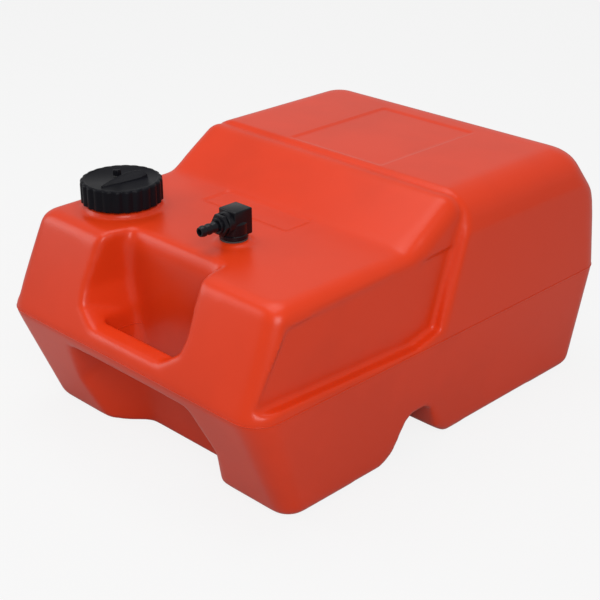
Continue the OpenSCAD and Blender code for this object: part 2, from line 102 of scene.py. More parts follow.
class TankSizes(PropertyGroup):
    """Sizes of the moulded shell."""

    length: mm(505, "Length", "Overall length at the waist")
    width: mm(360, "Width", "Overall width at the waist")
    height: mm(247, "Height", "Overall height at the rear body")
    waist_z: mm(113, "Waist height", "Height at which the two mould halves meet")
    waist_r: mm(27, "Waist corner radius", "Radius of the upright corners at the waist")
    base_side_in: mm(7, "Base side draw", "How far each side draws in down to the base")
    base_front_in: mm(44, "Base front draw", "How far the front draws in down to the base")
    base_rear_in: mm(24, "Base rear draw", "How far the rear draws in down to the base")
    base_edge_r: mm(11, "Base edge radius", "Radius of the edge round the base")
    deck_z: mm(207, "Deck height", "Height of the front deck")
    deck_front_in: mm(35, "Deck front draw", "How far the deck draws in at the front")
    deck_side_in: mm(10.5, "Deck side draw", "How far the deck draws in at each side")
    deck_edge_r: mm(17, "Shoulder radius", "Radius of the shoulder round the deck")
    ramp_foot: mm(204, "Ramp foot", "From the front to the foot of the ramp")
    ramp_slope: angle(33, "Ramp slope", "Slope of the ramp")
    ramp_r: mm(18, "Ramp radius", "Radius over the top of the ramp")
    ramp_top: mm(276, "Ramp top", "From the front to the ridge above the ramp")
    ramp_step: mm(3, "Ramp step", "Step of the ramp below the rear body's top")
    border_foot: mm(237, "Border foot", "From the front to the foot of the rear body's border")
    border_drop: mm(19, "Border drop", "How far below the top the border reaches the ridge")
    border_r: mm(6, "Border radius", "Upright radius of the rear body's border")
    break_z: mm(198, "Break height", "Height of the break in the rear wall")
    break_in: mm(8, "Break draw", "How far the rear wall draws in up to the break")
    top_rear_in: mm(34, "Top rear draw", "How far the rear body's top draws in at the rear")
    top_side_in: mm(3, "Top side draw", "How far the rear body's top draws in at each side")
    top_edge_r: mm(34, "Top edge radius", "Radius of the edge round the rear body's top")
    panel_depth: mm(1.2, "Panel depth", "Depth of the shallow panels on the top and the deck")
    seam_w: mm(1.6, "Parting line width", "Width of the parting line round the waist")
    seam_h: mm(0.35, "Parting line height", "How far the parting line stands out")
    grid: mm(2.2, "Skin grid", "Size of the grid that the skin is drawn over")
    most_faces: IntProperty(name="Most triangles", description="Triangles left in the skin", default=190000)


class HandSizes(PropertyGroup):
    """Sizes of the scoop, the hand hole and the finger channel."""

    back: mm(68, "Hand hole back", "From the front to the back wall of the hand hole")
    channel_back: mm(76, "Channel back", "From the front to the channel's back wall at the ground")
    bar_depth: mm(26, "Bar depth", "Depth of the carry bar, front to back")
    bar_low: mm(98, "Bar underside", "Height of the underside of the carry bar")
    bar_high: mm(128, "Bar top", "Height of the top of the carry bar")
    hole_w: mm(112, "Hand hole width", "Width of the hand hole")
    hole_r: mm(8, "Hand hole radius", "Radius of the hand hole's upright corners")
    bar_top_w: mm(98, "Bar top width", "Width of the level top of the bar between the cheeks' feet")
    cheek_h: mm(30, "Cheek foot height", "Height of the sloping foot of each cheek above the bar")
    scoop_back_w: mm(130, "Scoop width", "Width of the scoop's back")
    scoop_mouth_w: mm(145, "Scoop mouth", "Width of the scoop between its cheeks, at the bar's back")
    scoop_top_w: mm(136, "Scoop top", "Width of the scoop between its cheeks at the deck")
    lean: mm(7, "Back wall lean", "How far the scoop's back wall leans back where it meets the deck")
    channel_w: mm(124, "Channel width", "Width of the finger channel's back at the ground")
    channel_mouth_w: mm(178, "Channel mouth", "Width of the finger channel's mouth at the ground")
    corner_r: mm(10, "Scoop corner radius", "Radius of the corners at the back of the scoop")
    channel_r: mm(16, "Channel corner radius", "Radius of the corners at the back of the channel")


class CutSizes(PropertyGroup):
    """Sizes of the side recesses, the strap groove and the feet."""

    side_depth: mm(13, "Recess depth", "Depth of the recess in each side, from the waist")
    lip_front: mm(123, "Lip front height", "Height of the recess's lip at its front end")
    lip_low: mm(116, "Lip low height", "Height of the recess's lip at its lowest")
    recess_top: mm(190, "Recess top", "Height of the top of the recess")
    groove_from: mm(216.5, "Groove place", "From the front to the middle of the strap groove")
    groove_w: mm(72, "Groove width", "Width of the strap groove at the ground")
    groove_h: mm(47, "Groove height", "Height of the strap groove")
    groove_foot: mm(46, "Groove foot", "From the groove's middle to the end of its rounded foot")
    foot_h: mm(2.5, "Arch height", "Height of the low arches between the feet")
    front_arch: mm(52, "Front arch", "Length of the arch between the front feet")
    rear_arch: mm(112, "Rear arch", "Length of the arch between the rear feet")


class NeckSizes(PropertyGroup):
    """Sizes of the filler neck and its cap."""

    neck_r: mm(30, "Neck radius", "Outer radius of the neck, over its thread")
    bore_r: mm(25.5, "Bore radius", "Radius of the neck's bore")
    collar_r: mm(38, "Collar radius", "Radius of the collar at the neck's foot")
    collar_h: mm(6, "Collar height", "Height of the collar above the deck")
    thread_h: mm(1.3, "Thread height", "Height of the neck's thread")
    pitch: mm(4, "Thread pitch", "Rise of the thread in one turn")
    cap_rib: mm(1.6, "Rib height", "Height of the grip ribs round the cap")
    cap_wall: mm(3, "Skirt wall", "Wall of the cap's outer skirt")
    dish: mm(0.8, "Cap dish", "Depth of the shallow dish in the cap's top")
    ribs: IntProperty(name="Ribs", description="Grip ribs round the cap", default=24)
    rib_points: IntProperty(name="Rib points", description="Points round each rib", default=12)


class FittingSizes(PropertyGroup):
    """Sizes of the hose elbow and its tail."""

    boss_r: mm(17, "Boss radius", "Radius of the boss under the elbow")
    boss_h: mm(3, "Boss height", "Height of the boss above the deck")
    foot_r: mm(13.5, "Foot radius", "Radius of the elbow's round foot")
    waist_r: mm(12.8, "Round part radius", "Radius of the elbow's round part")
    head_w: mm(22, "Head width", "Width of the elbow's square head")
    socket_r: mm(10.6, "Socket radius", "Radius of the boss that holds the hose tail")
    hex_af: mm(19, "Hexagon", "Width across flats of the hose tail's hexagon")
    barb_d: mm(10.5, "Barb diameter", "Diameter over the barbs")
    root_d: mm(8.7, "Root diameter", "Diameter between the barbs")
    bore_d: mm(6, "Fuel bore", "Diameter of the fuel passage")


class Finishes(PropertyGroup):
    """Colours of the moulded parts."""

    shell: tint((0.68, 0.040, 0.006), "Shell", "Colour of the moulded shell")
    black: tint((0.005, 0.005, 0.007), "Black plastic", "Colour of the cap, the vent screw and the elbow")
    rubber: tint((0.02, 0.02, 0.02), "Rubber", "Colour of the seals")
    natural: tint((0.78, 0.77, 0.70), "Natural plastic", "Colour of the pick-up tube")
    brass: tint((0.80, 0.56, 0.22), "Brass", "Colour of the threaded insert")


class StageSettings(PropertyGroup):
    """Camera, lights and floor."""

    eye: FloatVectorProperty(
        name="Camera place", description="Where the camera stands", default=(0.8667, -0.8923, 0.675),
        subtype="TRANSLATION")
    azimuth: angle(44.8, "Azimuth", "Turn of the view from the +Y axis")
    tilt: angle(25.1, "Tilt", "How far the camera looks down")
    lens: amount(79.93, "Lens", "Focal length in millimetres")
    floor: tint((0.48, 0.48, 0.48), "Floor", "Colour of the floor")
    world: amount(0.39, "World", "Strength of the surrounding light")
    mirrored: amount(0.5, "Mirrored world", "Strength of the background as surfaces mirror it")
    over: amount(12, "Overhead light", "Watts of the light over the tank")
    front: amount(25, "Front light", "Watts of the light by the camera")
    left: amount(7.5, "Left light", "Watts of the light at the left")


# ------ drawing helpers

def corner_circles(bm, z, half, front, rear, r_front, r_rear):
    """Loose points of a rounded rectangle at level z, to stretch a form over."""
    for side in (-1, 1):
        for y, r, inward in ((front, r_front, 1), (rear, r_rear, -1)):
            bmesh.ops.create_circle(
                bm, segments=ROUND, radius=r,
                matrix=Matrix.Translation((side * (half - r), y + inward * r, z)))


def rounded_edge(bm, top, half, front, rear, r_front, r_rear, r, up=1, square_front=False, steps=9):
    """Rounded rectangles up a rounded edge of radius r that ends at level top."""
    for step in range(steps + 1):
        turn = QUARTER * step / steps
        inset = r * (1 - math.cos(turn))
        corner_circles(
            bm, top - up * r * (1 - math.sin(turn)), half - inset,
            front + (0 if square_front else inset), rear - inset,
            max(r_front - 0.5 * inset, MM), max(r_rear - 0.5 * inset, MM))


def points(bm, places):
    """Loose points to stretch a form over."""
    for place in places:
        bmesh.ops.create_vert(bm, co=place)


def both_sides(bm, places):
    """Loose points and their mirror images left of the middle."""
    for x, y, z in places:
        points(bm, ((x, y, z), (-x, y, z)))


def stretched(name, *draws):
    """A closed form stretched over the loose points that each draw leaves."""
    bm = bmesh.new()
    for draw in draws:
        draw(bm)
    bmesh.ops.convex_hull(bm, input=bm.verts)
    spare = [edge for edge in bm.edges if not edge.link_faces]
    bmesh.ops.delete(bm, geom=spare, context="EDGES")
    spare = [vert for vert in bm.verts if not vert.link_faces]
    bmesh.ops.delete(bm, geom=spare, context="VERTS")
    return as_object(bm, name)


def as_object(bm, name, closed=True):
    """The object of a finished bmesh; the faces of a closed form are turned outwards."""
    if closed:
        bmesh.ops.recalc_face_normals(bm, faces=bm.faces)
    mesh = bpy.data.meshes.new(name)
    bm.to_mesh(mesh)
    bm.free()
    made = bpy.data.objects.new(name, mesh)
    bpy.context.scene.collection.objects.link(made)
    return made


def apply_modifiers(made):
    """Puts the result of an object's modifiers into its mesh."""
    seen = made.evaluated_get(bpy.context.evaluated_depsgraph_get())
    mesh = bpy.data.meshes.new_from_object(seen)
    made.modifiers.clear()
    old = made.data
    made.data = mesh
    bpy.data.meshes.remove(old)


def combine(made, others, operation):
    """Adds or cuts other forms, and removes them."""
    for other in others:
        step = made.modifiers.new("form", "BOOLEAN")
        step.operation = operation
        step.solver = "EXACT"
        step.object = other
    apply_modifiers(made)
    for other in others:
        bpy.data.objects.remove(other)


def ease(value, low, high):
    """0 below low, 1 above high, smooth between."""
    t = min(max((value - low) / (high - low), 0), 1)
    return t * t * (3 - 2 * t)


def near(value, low, high, margin):
    """1 between low and high, fading to 0 a margin outside them."""
    return ease(value, low - margin, low) * (1 - ease(value, high, high + margin))


def ring(bm, z, radius_at, count, x=0.0, y=0.0):
    """A level ring of points whose radius follows the angle; its edges are returned."""
    level = Matrix.Translation((0, 0, z))
    made = bmesh.ops.create_circle(bm, segments=count, radius=1, matrix=level)["verts"]
    for vert in made:
        turn = math.atan2(vert.co.y, vert.co.x)
        r = radius_at(turn)
        vert.co.x, vert.co.y = x + r * math.cos(turn), y + r * math.sin(turn)
    return list({edge for vert in made for edge in vert.link_edges})


def stack(bm, rings):
    """Skins a stack of rings, first to last, and closes both ends."""
    for low, high in zip(rings, rings[1:]):
        bmesh.ops.bridge_loops(bm, edges=low + high)
    for end in (rings[0], rings[-1]):
        bmesh.ops.holes_fill(bm, edges=end, sides=0)


def turned(bm, profile, place, count=64):
    """A turned closed shape: profile holds radius and height pairs, place carries it to its axis."""
    before = set(bm.verts)
    verts = [bmesh.ops.create_vert(bm, co=(r, 0, z))["vert"][0] for r, z in profile]
    edges = [bm.edges.new(pair) for pair in zip(verts, verts[1:] + verts[:1])]
    bmesh.ops.spin(
        bm, geom=verts + edges, cent=(0, 0, 0), axis=(0, 0, 1), dvec=(0, 0, 0),
        angle=FULL, steps=count, use_merge=True, use_duplicate=False)
    bmesh.ops.remove_doubles(bm, verts=[v for v in bm.verts if v not in before], dist=0.02 * MM)
    bmesh.ops.transform(bm, matrix=place, verts=[v for v in bm.verts if v not in before])


def block(bm, low, high, r=0.0):
    """A box between two corners with rounded edges."""
    low, high = Vector(low), Vector(high)
    place = Matrix.Translation((low + high) / 2) @ Matrix.Diagonal((*(high - low), 1))
    made = bmesh.ops.create_cube(bm, size=1, matrix=place)["verts"]
    if r:
        edges = list({edge for vert in made for edge in vert.link_edges})
        bmesh.ops.bevel(
            bm, geom=edges, offset=r, segments=3, profile=0.5, affect="EDGES", material=-1,
            clamp_overlap=True)


def piece(made, name, body, material, nodes=(), crisp=0):
    """Names and finishes a made object, and seats it on its body in place of its CAD nodes.

    Edges that turn by more than crisp degrees are shaded sharp.
    """
    made.name = made.data.name = name
    made.data.materials.clear()
    made.data.materials.append(finish(material))
    made.data.shade_smooth()
    if crisp:
        made.data.set_sharp_from_angle(angle=math.radians(crisp))
    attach(made, body)
    if nodes:
        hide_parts(*nodes)


# ------ finishes

def group(name, inputs, outputs):
    """A shader node group with named sockets."""
    tree = bpy.data.node_groups.new(name, "ShaderNodeTree")
    for title, kind, value in inputs:
        socket = tree.interface.new_socket(name=title, in_out="INPUT", socket_type=kind)
        socket.default_value = value
    for title, kind in outputs:
        tree.interface.new_socket(name=title, in_out="OUTPUT", socket_type=kind)
    return tree, tree.nodes.new("NodeGroupInput"), tree.nodes.new("NodeGroupOutput")


def noise(tree, scale, detail=2.0, rough=0.5, stretch=None):
    """Noise over Object coordinates; scale is a number or a socket."""
    place = tree.nodes.new("ShaderNodeTexCoord").outputs["Object"]
    if stretch:
        mapping = tree.nodes.new("ShaderNodeMapping")
        mapping.inputs["Scale"].default_value = stretch
        tree.links.new(place, mapping.inputs["Vector"])
        place = mapping.outputs["Vector"]
    made = tree.nodes.new("ShaderNodeTexNoise")
    made.inputs["Detail"].default_value = detail
    made.inputs["Roughness"].default_value = rough
    tree.links.new(place, made.inputs["Vector"])
    if isinstance(scale, (int, float)):
        made.inputs["Scale"].default_value = scale
    else:
        tree.links.new(scale, made.inputs["Scale"])
    return made.outputs["Fac"]


def arithmetic(tree, operation, *values):
    """A Math node's result; each value is a number or a socket."""
    made = tree.nodes.new("ShaderNodeMath")
    made.operation = operation
    for socket, value in zip(made.inputs, values):
        if isinstance(value, (int, float)):
            socket.default_value = value
        else:
            tree.links.new(value, socket)
    return made.outputs[0]


def spread(tree, value, low, high):
    """0 where a value is below low, 1 above high, smooth between."""
    made = tree.nodes.new("ShaderNodeMapRange")
    made.interpolation_type = "SMOOTHSTEP"
    tree.links.new(value, made.inputs["Value"])
    made.inputs["From Min"].default_value, made.inputs["From Max"].default_value = low, high
    return made.outputs["Result"]


def grain_group():
    """Fine texture of a moulded surface, with the slow waves of an uneven wall."""
    tree, given, result = group(
        "moulded_grain",
        (("Grain Scale", "NodeSocketFloat", 900.0), ("Grain", "NodeSocketFloat", 0.3),
         ("Waves", "NodeSocketFloat", 1.0)),
        (("Height", "NodeSocketFloat"),))
    scale, grain, waves = (given.outputs[key] for key in ("Grain Scale", "Grain", "Waves"))
    fine = arithmetic(tree, "MULTIPLY", noise(tree, scale, 2.0), grain)
    slow = arithmetic(tree, "MULTIPLY", noise(tree, 14.0, 1.0), waves)
    tree.links.new(arithmetic(tree, "ADD", fine, slow), result.inputs["Height"])
    return tree


def drift_group():
    """Slow drift between two colours."""
    tree, given, result = group(
        "colour_drift",
        (("Colour", "NodeSocketColor", (1, 1, 1, 1)), ("Other", "NodeSocketColor", (1, 1, 1, 1)),
         ("Scale", "NodeSocketFloat", 8.0), ("Amount", "NodeSocketFloat", 0.5)),
        (("Colour", "NodeSocketColor"),))
    broad = spread(tree, noise(tree, given.outputs["Scale"], 3.0, 0.55), 0.38, 0.68)
    mix = tree.nodes.new("ShaderNodeMix")
    mix.data_type = "RGBA"
    tree.links.new(arithmetic(tree, "MULTIPLY", broad, given.outputs["Amount"]), mix.inputs["Factor"])
    tree.links.new(given.outputs["Colour"], mix.inputs["A"])
    tree.links.new(given.outputs["Other"], mix.inputs["B"])
    tree.links.new(mix.outputs["Result"], result.inputs["Colour"])
    return tree


def handling_group():
    """Mask of faint rub marks from handling, long in one direction."""
    tree, given, result = group(
        "handling_marks",
        (("Amount", "NodeSocketFloat", 0.5),),
        (("Mask", "NodeSocketFloat"),))
    streaks = spread(tree, noise(tree, 60.0, 4.0, 0.6, stretch=(0.35, 2.2, 1.2)), 0.60, 0.78)
    patches = spread(tree, noise(tree, 7.0, 2.0), 0.42, 0.62)
    both = arithmetic(tree, "MULTIPLY", streaks, patches)
    tree.links.new(arithmetic(tree, "MULTIPLY", both, given.outputs["Amount"]), result.inputs["Mask"])
    return tree


def use_group(tree, made, **values):
    """A group placed in a material with its own values."""
    node = tree.nodes.new("ShaderNodeGroup")
    node.node_tree = made
    for title, value in values.items():
        node.inputs[title.replace("_", " ")].default_value = value
    return node


# A finish: its colour, how bright the colour drifts to, roughness where untouched and where rubbed, depth of
# the surface's texture in metres, its grain and slow waves, rub marks, amount of drift, metal, specular.
Recipe = namedtuple(
    "Recipe", "colour drift smooth rubbed depth grain_scale grain waves marks amount metal shine")
RECIPES = {
    "orange_polyethylene": Recipe("shell", 0.86, 0.31, 0.42, 0.00012, 850, 0.1, 1.6, 0.5, 0.6, 0, 0.3),
    "black_moulded": Recipe("black", 1.5, 0.34, 0.48, 0.00005, 1500, 0.4, 0.3, 0.6, 0.7, 0, 0.07),
    "black_nylon": Recipe("black", 1.4, 0.24, 0.38, 0.00004, 1300, 0.4, 0.3, 0.6, 0.7, 0, 0.2),
    "seal_rubber": Recipe("rubber", 1.5, 0.70, 0.85, 0.00005, 2000, 0.5, 0.2, 0.5, 0.6, 0, 0.28),
    "natural_plastic": Recipe("natural", 1.1, 0.38, 0.50, 0.00003, 900, 0.3, 0.5, 0.5, 0.5, 0, 0.28),
    "turned_brass": Recipe("brass", 1.15, 0.25, 0.45, 0.00002, 1800, 0.4, 0.1, 0.5, 0.5, 1, 0.28),
}


def finish(name):
    """The finish of that name, made on first use: colour drift, rub marks, and grain in the surface."""
    material = bpy.data.materials.get(name)
    if material:
        return material
    recipe = RECIPES[name]
    colour = tuple(getattr(bpy.context.scene.tank_finishes, recipe.colour))
    other = [min(1, part * recipe.drift) for part in colour]
    material = bpy.data.materials.new(name)
    material.use_nodes = True
    tree = material.node_tree
    shader = tree.nodes["Principled BSDF"]
    shader.inputs["Metallic"].default_value = recipe.metal
    shader.inputs["Specular IOR Level"].default_value = recipe.shine
    grain, drift, handling = (bpy.data.node_groups.get(key) or make() for key, make in (
        ("moulded_grain", grain_group), ("colour_drift", drift_group), ("handling_marks", handling_group)))
    hue = use_group(tree, drift, Colour=(*colour, 1), Other=(*other, 1), Amount=recipe.amount)
    tree.links.new(hue.outputs["Colour"], shader.inputs["Base Color"])
    rubs = use_group(tree, handling, Amount=recipe.marks)
    gloss = tree.nodes.new("ShaderNodeMapRange")
    gloss.inputs["To Min"].default_value = recipe.smooth
    gloss.inputs["To Max"].default_value = recipe.rubbed
    tree.links.new(rubs.outputs["Mask"], gloss.inputs["Value"])
    tree.links.new(gloss.outputs["Result"], shader.inputs["Roughness"])
    texture = use_group(tree, grain, Grain_Scale=recipe.grain_scale, Grain=recipe.grain, Waves=recipe.waves)
    bumps = tree.nodes.new("ShaderNodeBump")
    bumps.inputs["Strength"].default_value = 1.0
    bumps.inputs["Distance"].default_value = recipe.depth
    tree.links.new(texture.outputs["Height"], bumps.inputs["Height"])
    tree.links.new(bumps.outputs["Normal"], shader.inputs["Normal"])
    return material


# ------ the shell

BREAK_CURVE = ((-28, -3), (-12, 0), (-1, 3.5), (6, 8.5), (12, 15))   # mm above the break, mm further in


def body_forms(s):
    """The tub with the deck, the rear body and the ramp between them, as closed forms."""
    front, rear, waist_x = -s.length / 2, s.length / 2, s.width / 2
    border, ridge = front + s.border_foot, front + s.ramp_top
    base_r, deck_r = s.waist_r - s.base_side_in, s.waist_r - s.deck_side_in

    def tub(bm):
        rounded_edge(
            bm, 0, waist_x - s.base_side_in, front + s.base_front_in, rear - s.base_rear_in,
            base_r, base_r, s.base_edge_r, up=-1)
        corner_circles(bm, s.waist_z, waist_x, front, rear, s.waist_r, s.waist_r)

    def deck(bm):
        rounded_edge(
            bm, s.deck_z, waist_x - s.deck_side_in, front + s.deck_front_in, ridge + deck_r,
            deck_r, deck_r, s.deck_edge_r)

    def rear_body(bm):
        corner_circles(bm, s.waist_z, waist_x, border, rear, s.border_r, s.waist_r)
        reach = s.height - s.border_drop - s.waist_z
        for rise, draw in BREAK_CURVE:
            z = s.break_z + rise * MM
            corner_circles(
                bm, z, waist_x - s.top_side_in / 2, border + (ridge - border) * (z - s.waist_z) / reach,
                rear - s.break_in - draw * MM, s.border_r, s.waist_r)
        rounded_edge(
            bm, s.height, waist_x - s.top_side_in, ridge, rear - s.top_rear_in + 4 * MM,
            s.border_r, s.waist_r, s.top_edge_r, square_front=True)

    def under_ramp(z, r):
        """Where a ball of radius r at height z touches the ramp from below."""
        return (front + s.ramp_foot + (z - s.deck_z + r * math.cos(s.ramp_slope)) / math.tan(s.ramp_slope)
                + r * math.sin(s.ramp_slope))

    def ramp(bm):
        low_z, high_z = s.deck_z - s.deck_edge_r - MM, s.height - s.ramp_step - s.ramp_r
        for y, z, r in (
                (under_ramp(low_z, s.deck_edge_r), low_z, s.deck_edge_r),
                (under_ramp(high_z, s.ramp_r), high_z, s.ramp_r),
                (ridge + 2 * s.ramp_r, s.waist_z + s.ramp_r, s.ramp_r)):
            for side in (-1, 1):
                bmesh.ops.create_uvsphere(
                    bm, u_segments=32, v_segments=24, radius=r,
                    matrix=Matrix.Translation((side * (waist_x - s.deck_side_in - r), y, z)))

    return stretched("tub", tub, deck), [stretched("rear", rear_body), stretched("ramp", ramp)]


def hand_forms(s, hand):
    """The scoop over the bar, the hand hole behind it and the finger channel under it."""
    front = -s.length / 2
    back, bar_back, base_front = front + hand.back, front + hand.bar_depth, front + s.base_front_in
    half, reach = hand.hole_w / 2, 60 * MM

    def pocket(z, mouth, wide, mouth_y, back_y, r):
        """One level of a pocket: its mouth's half width holds at mouth_y, and its walls run on past it."""
        spread_out = (mouth - wide) / (back_y - mouth_y)

        def draw(bm):
            for side in (-1, 1):
                bmesh.ops.create_circle(
                    bm, segments=ROUND, radius=r,
                    matrix=Matrix.Translation((side * (wide - r), back_y - r, z)))
            both_sides(bm, ((mouth + spread_out * reach, mouth_y - reach, z),))
        return draw

    cheek, top = hand.bar_high + hand.cheek_h, s.deck_z + 28 * MM
    scoop = stretched(
        "scoop",
        pocket(hand.bar_high, hand.bar_top_w / 2, half, bar_back, back, hand.corner_r),
        pocket(cheek, hand.scoop_mouth_w / 2, hand.scoop_back_w / 2, bar_back, back, hand.corner_r),
        pocket(top, hand.scoop_top_w / 2, hand.scoop_back_w / 2, bar_back, back, hand.corner_r * 1.4))
    edge_z = s.deck_z - 26 * MM
    wide, in_front = hand.scoop_back_w / 2, 20 * MM
    flare = stretched("flare", lambda bm: both_sides(bm, (
        (wide - 8 * MM, back - 5 * MM, edge_z), (wide, back + hand.lean, s.deck_z),
        (wide + 6 * MM, back + 2.4 * hand.lean, top), (wide, back - in_front, top))))
    hole = stretched("hole", *(
        lambda bm, z=z: corner_circles(bm, z, half, bar_back, back, hand.hole_r, hand.hole_r)
        for z in (hand.bar_low - 4 * MM, hand.bar_high + 6 * MM)))
    draft = 1.1
    mouth, end, below = hand.channel_mouth_w / 2, hand.channel_w / 2, -5 * MM
    channel = stretched(
        "channel",
        pocket(
            hand.bar_low, mouth / draft, end / draft, base_front - 26 * MM, back, hand.channel_r / draft),
        pocket(below, mouth, end, base_front + 5 * MM, front + hand.channel_back, hand.channel_r))
    return [scoop, flare, hole, channel]


def side_and_base_forms(s, cut):
    """The side recesses, the strap groove and the low arches between the feet."""
    front, waist_x = -s.length / 2, s.width / 2
    border, ridge, groove = front + s.border_foot, front + s.ramp_top, front + cut.groove_from
    outline = (
        (front + 8 * MM, cut.lip_front), (border - 30 * MM, cut.lip_low),
        (border - 6 * MM, cut.lip_low + 6 * MM), (border + 2 * MM, cut.lip_front),
        (ridge - 12 * MM, s.deck_z - 7 * MM), (front + 48 * MM, cut.recess_top))
    forms = [
        stretched("recess", lambda bm, side=side: points(bm, (
            (side * x, y, z) for y, z in outline for x in (waist_x - cut.side_depth, AIR))))
        for side in (-1, 1)]
    below = -5 * MM
    foot, top = cut.groove_w / 2, cut.groove_w / 2 - 18 * MM
    arch = ((foot + 2 * MM, below), (top, cut.groove_h - 5 * MM), (top - 9 * MM, cut.groove_h))
    rounded_foot = ((cut.groove_foot + 4 * MM, below), (cut.groove_foot, 2.5 * MM), (31 * MM, 13 * MM))
    for name, half in (("groove", arch), ("groove_foot", rounded_foot)):
        forms.append(stretched(name, lambda bm, half=half: both_sides(bm, [
            (AIR, groove + way * y, z) for way in (-1, 1) for y, z in half])))
    for start, length in (
            (front + s.base_front_in + 86 * MM, cut.front_arch), (groove + foot + 37 * MM, cut.rear_arch)):
        bm = bmesh.new()
        block(bm, (-AIR, start, -AIR), (AIR, start + length, cut.foot_h))
        forms.append(as_object(bm, "arch"))
    return forms


def softness(place, s, hand, cut, neck, fit):
    """How strongly the skin is smoothed at a place, from 0 to 1: high in the scoop and along the ramp."""
    x, y, z = abs(place.x), place.y, place.z
    front = -s.length / 2
    back, bar_back = front + hand.back, front + hand.bar_depth
    foot, groove = front + s.ramp_foot, front + cut.groove_from
    soft = 0.10
    scoop = near(x, 0, 92 * MM, 14 * MM) * near(y, front - MM, back + 8 * MM, 14 * MM)
    cheek = near(x, 62 * MM, 92 * MM, 8 * MM) * (1 - ease(z, s.deck_z - 34 * MM, s.deck_z - 16 * MM))
    over_bar = ease(z, hand.bar_low - 10 * MM, hand.bar_low + 4 * MM)
    soft = max(soft, (0.75 - 0.4 * cheek) * scoop * over_bar, 0.45 * scoop)
    rim = near(x, 0, 60 * MM, 12 * MM) * near(y, back - 6 * MM, back + 16 * MM, 8 * MM)
    soft = max(soft, rim * ease(z, s.deck_z - 34 * MM, s.deck_z - 20 * MM))
    bar_edge = near(y, bar_back - 5 * MM, bar_back + 6 * MM, 5 * MM) * near(x, 0, 52 * MM, 10 * MM)
    soft -= 0.8 * soft * bar_edge * near(z, hand.bar_low, hand.bar_high + 3 * MM, 7 * MM)
    ramp_foot = near(y, foot - 18 * MM, foot + 14 * MM, 12 * MM)
    soft = max(soft, ramp_foot * near(z, s.deck_z - 16 * MM, s.deck_z + 12 * MM, 8 * MM))
    waist = near(z, s.waist_z - 6 * MM, s.waist_z + 6 * MM, 10 * MM)
    soft = max(soft, 0.45 * waist * (1 - ease(y, front + 16 * MM, front + 40 * MM)))
    soft = max(soft, 0.30 * (1 - ease(z, 4 * MM, 16 * MM)))
    in_groove = near(y, groove - 46 * MM, groove + 46 * MM, 6 * MM)
    soft = max(soft, 0.65 * in_groove * (1 - ease(z, 26 * MM, 44 * MM)))
    shoulder = ease(z, s.deck_z - 30 * MM, s.deck_z - 14 * MM)
    soft = max(soft, 0.30 * shoulder * (1 - ease(y, foot + 20 * MM, foot + 40 * MM)))
    for middle, r in (((NECK_X, NECK_Y), neck.collar_r), ((FIT_X, FIT_Y), fit.boss_r)):
        away = math.hypot(place.x - middle[0], place.y - middle[1])
        if z > s.deck_z - 10 * MM and away < r + 12 * MM:
            soft = min(soft, 0.10 + 0.2 * ease(away, r + 4 * MM, r + 12 * MM))
    return soft


def press_panel(verts, low, high, depth, level):
    """Presses a shallow panel into the upward skin between two corners."""
    edge = 1.4 * MM
    for vert in verts:
        x, y, z = vert.co
        if z >= level - 6 * MM:
            across = near(x, low[0] + edge, high[0] - edge, 2 * edge)
            vert.co.z -= depth * across * near(y, low[1] + edge, high[1] - edge, 2 * edge)


# Corners of the shallow panels, in millimetres from the middle and from the front.
TOP_PANEL = ((-61, 282), (61, 425))
DECK_PANEL = ((-70.5, 168), (46.5, 203))


def make_shell(context):
    """Joins and cuts the closed forms, draws one skin over them, softens it and presses the panels in."""
    scene = context.scene
    s, hand, cut, neck, fit = (
        scene.tank_sizes, scene.hand_sizes, scene.cut_sizes, scene.neck_sizes, scene.fitting_sizes)
    shell, more = body_forms(s)
    combine(shell, more, "UNION")
    combine(shell, hand_forms(s, hand) + side_and_base_forms(s, cut), "DIFFERENCE")
    sunk = 20 * MM
    for x, y, r, h in (
            (NECK_X, NECK_Y, neck.collar_r, neck.collar_h), (FIT_X, FIT_Y, fit.boss_r, fit.boss_h)):
        bm = bmesh.new()
        bmesh.ops.create_cone(
            bm, cap_ends=True, segments=96, radius1=r, radius2=r, depth=h + sunk,
            matrix=Matrix.Translation((x, y, s.deck_z + (h - sunk) / 2)))
        combine(shell, [as_object(bm, "ring")], "UNION")
    skin = shell.modifiers.new("skin", "REMESH")
    skin.mode = "VOXEL"
    skin.voxel_size = s.grid
    apply_modifiers(shell)
    levels = {}
    for vert in shell.data.vertices:
        levels.setdefault(round(softness(vert.co, s, hand, cut, neck, fit), 2), []).append(vert.index)
    weights = shell.vertex_groups.new(name="softness")
    for weight, indices in levels.items():
        weights.add(indices, weight, "REPLACE")
    smooth = shell.modifiers.new("soft", "SMOOTH")
    smooth.factor = 0.5
    smooth.iterations = 60
    smooth.vertex_group = weights.name
    apply_modifiers(shell)
    shell.vertex_groups.clear()
    bm = bmesh.new()
    bm.from_mesh(shell.data)
    for corners, level in ((TOP_PANEL, s.height), (DECK_PANEL, s.deck_z)):
        low, high = ((x * MM, -s.length / 2 + y * MM) for x, y in corners)
        press_panel(bm.verts, low, high, s.panel_depth, level)
    bm.to_mesh(shell.data)
    bm.free()
    faces = 2 * len(shell.data.polygons)
    if faces > s.most_faces:
        fewer = shell.modifiers.new("fewer", "DECIMATE")
        fewer.ratio = s.most_faces / faces
        apply_modifiers(shell)
    make_seam(shell, s)
    piece(shell, "tank_skin", "tank", "orange_polyethylene", ("tank_shell",))


